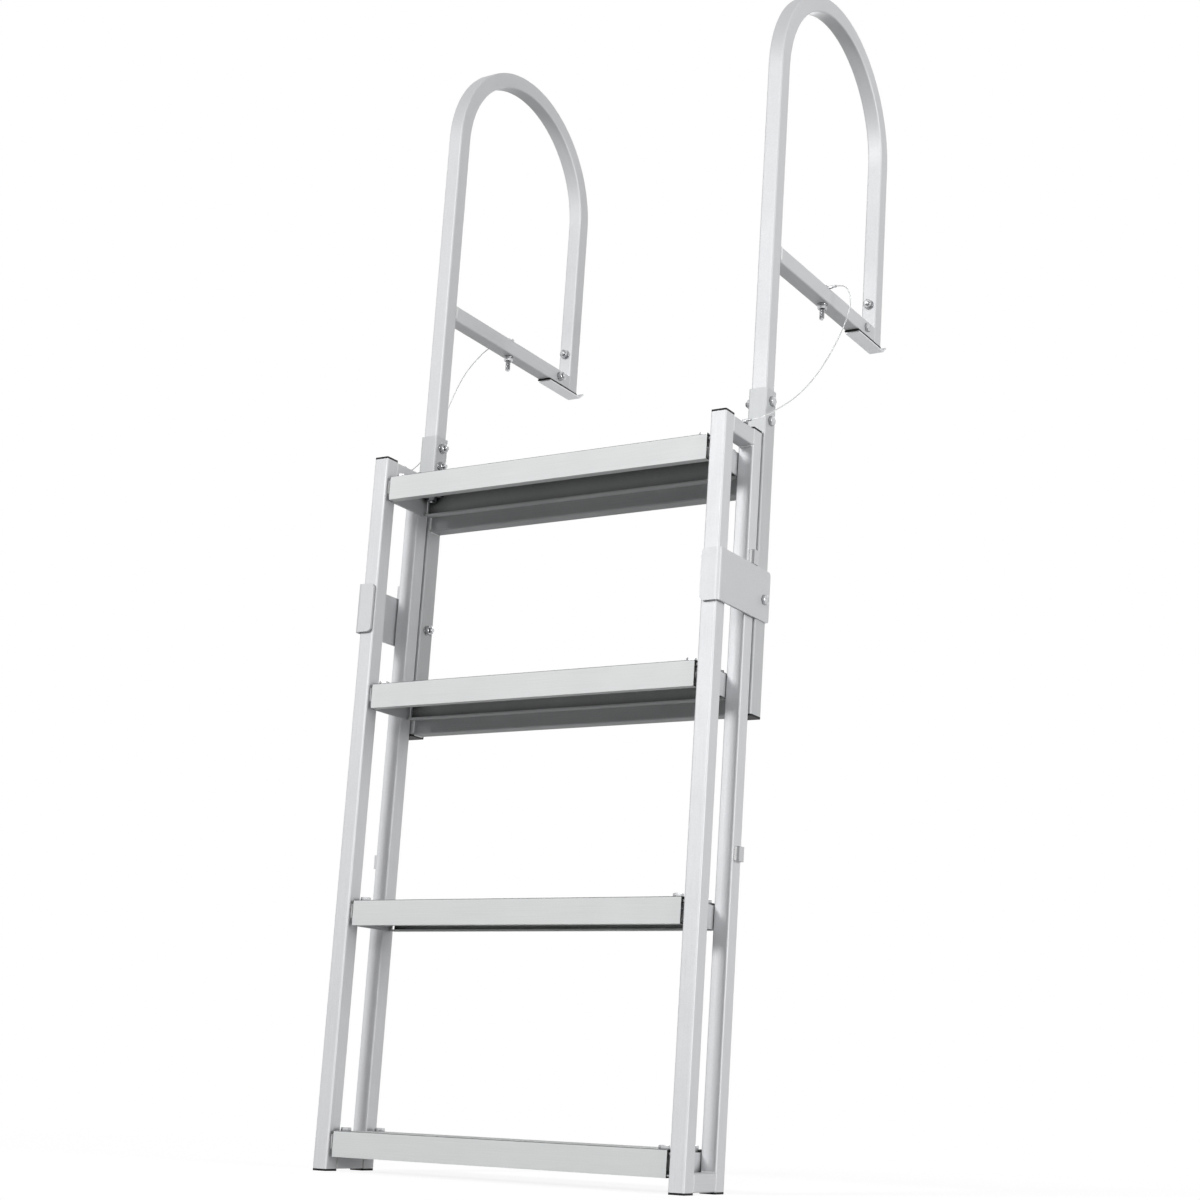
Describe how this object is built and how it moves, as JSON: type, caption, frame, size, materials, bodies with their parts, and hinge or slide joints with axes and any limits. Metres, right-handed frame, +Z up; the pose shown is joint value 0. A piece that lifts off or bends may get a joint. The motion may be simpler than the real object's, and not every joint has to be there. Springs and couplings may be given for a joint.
{
  "type": "dock ladder",
  "caption": "Lift-up dock ladder of square aluminium tube that slides on two posts under arched handrails, with ribbed treads and feet for the deck.",
  "frame": {"origin": "centre of the underside of the left deck plate, which lies on the deck", "axes": "+Z up; -Y out over the water, from the deck to the ladder; +X from the left side to the right side, seen from the water"},
  "size_m": [0.69, 0.5126, 1.8505],
  "materials": {
    "anodised_aluminium": "satin blasted and clear anodised",
    "stainless_steel": "bright stainless steel",
    "black_plastic": "moulded black plastic",
    "black_rubber": "black rubber"
  },
  "bodies": {
    "deck_frame": {"left_deck_bar": "anodised_aluminium", "left_deck_bolts": "stainless_steel", "left_deck_pad": "black_rubber", "left_deck_plate": "anodised_aluminium", "left_elbow_joiner": "anodised_aluminium", "left_handrail": "anodised_aluminium", "left_post": "anodised_aluminium", "left_post_bolts": "stainless_steel", "left_post_plug": "black_plastic", "left_slide_bracket": "anodised_aluminium", "lower_cross_tube": "anodised_aluminium", "right_deck_bar": "anodised_aluminium", "right_deck_bolts": "stainless_steel", "right_deck_pad": "black_rubber", "right_deck_plate": "anodised_aluminium", "right_elbow_joiner": "anodised_aluminium", "right_handrail": "anodised_aluminium", "right_post": "anodised_aluminium", "right_post_bolts": "stainless_steel", "right_post_plug": "black_plastic", "right_slide_bracket": "anodised_aluminium", "upper_cross_tube": "anodised_aluminium", "upper_eyelets": "stainless_steel"},
    "ladder": {"left_front_rail": "anodised_aluminium", "left_ladder_bolts": "stainless_steel", "left_lanyard": "stainless_steel", "left_rail_caps": "black_plastic", "left_rear_rail": "anodised_aluminium", "left_spacers": "anodised_aluminium", "left_stops": "anodised_aluminium", "left_tread_brackets": "anodised_aluminium", "lower_eyelets": "stainless_steel", "right_front_rail": "anodised_aluminium", "right_ladder_bolts": "stainless_steel", "right_lanyard": "stainless_steel", "right_rail_caps": "black_plastic", "right_rear_rail": "anodised_aluminium", "right_spacers": "anodised_aluminium", "right_stops": "anodised_aluminium", "right_tread_brackets": "anodised_aluminium", "tread_1": "anodised_aluminium", "tread_2": "anodised_aluminium", "tread_3": "anodised_aluminium", "tread_4": "anodised_aluminium"}
  },
  "joints": [
    {"name": "ladder_lift", "type": "slide", "parent": "deck_frame", "child": "ladder", "axis": [0, 0, 1], "range_m": [0, 0.327]}
  ]
}
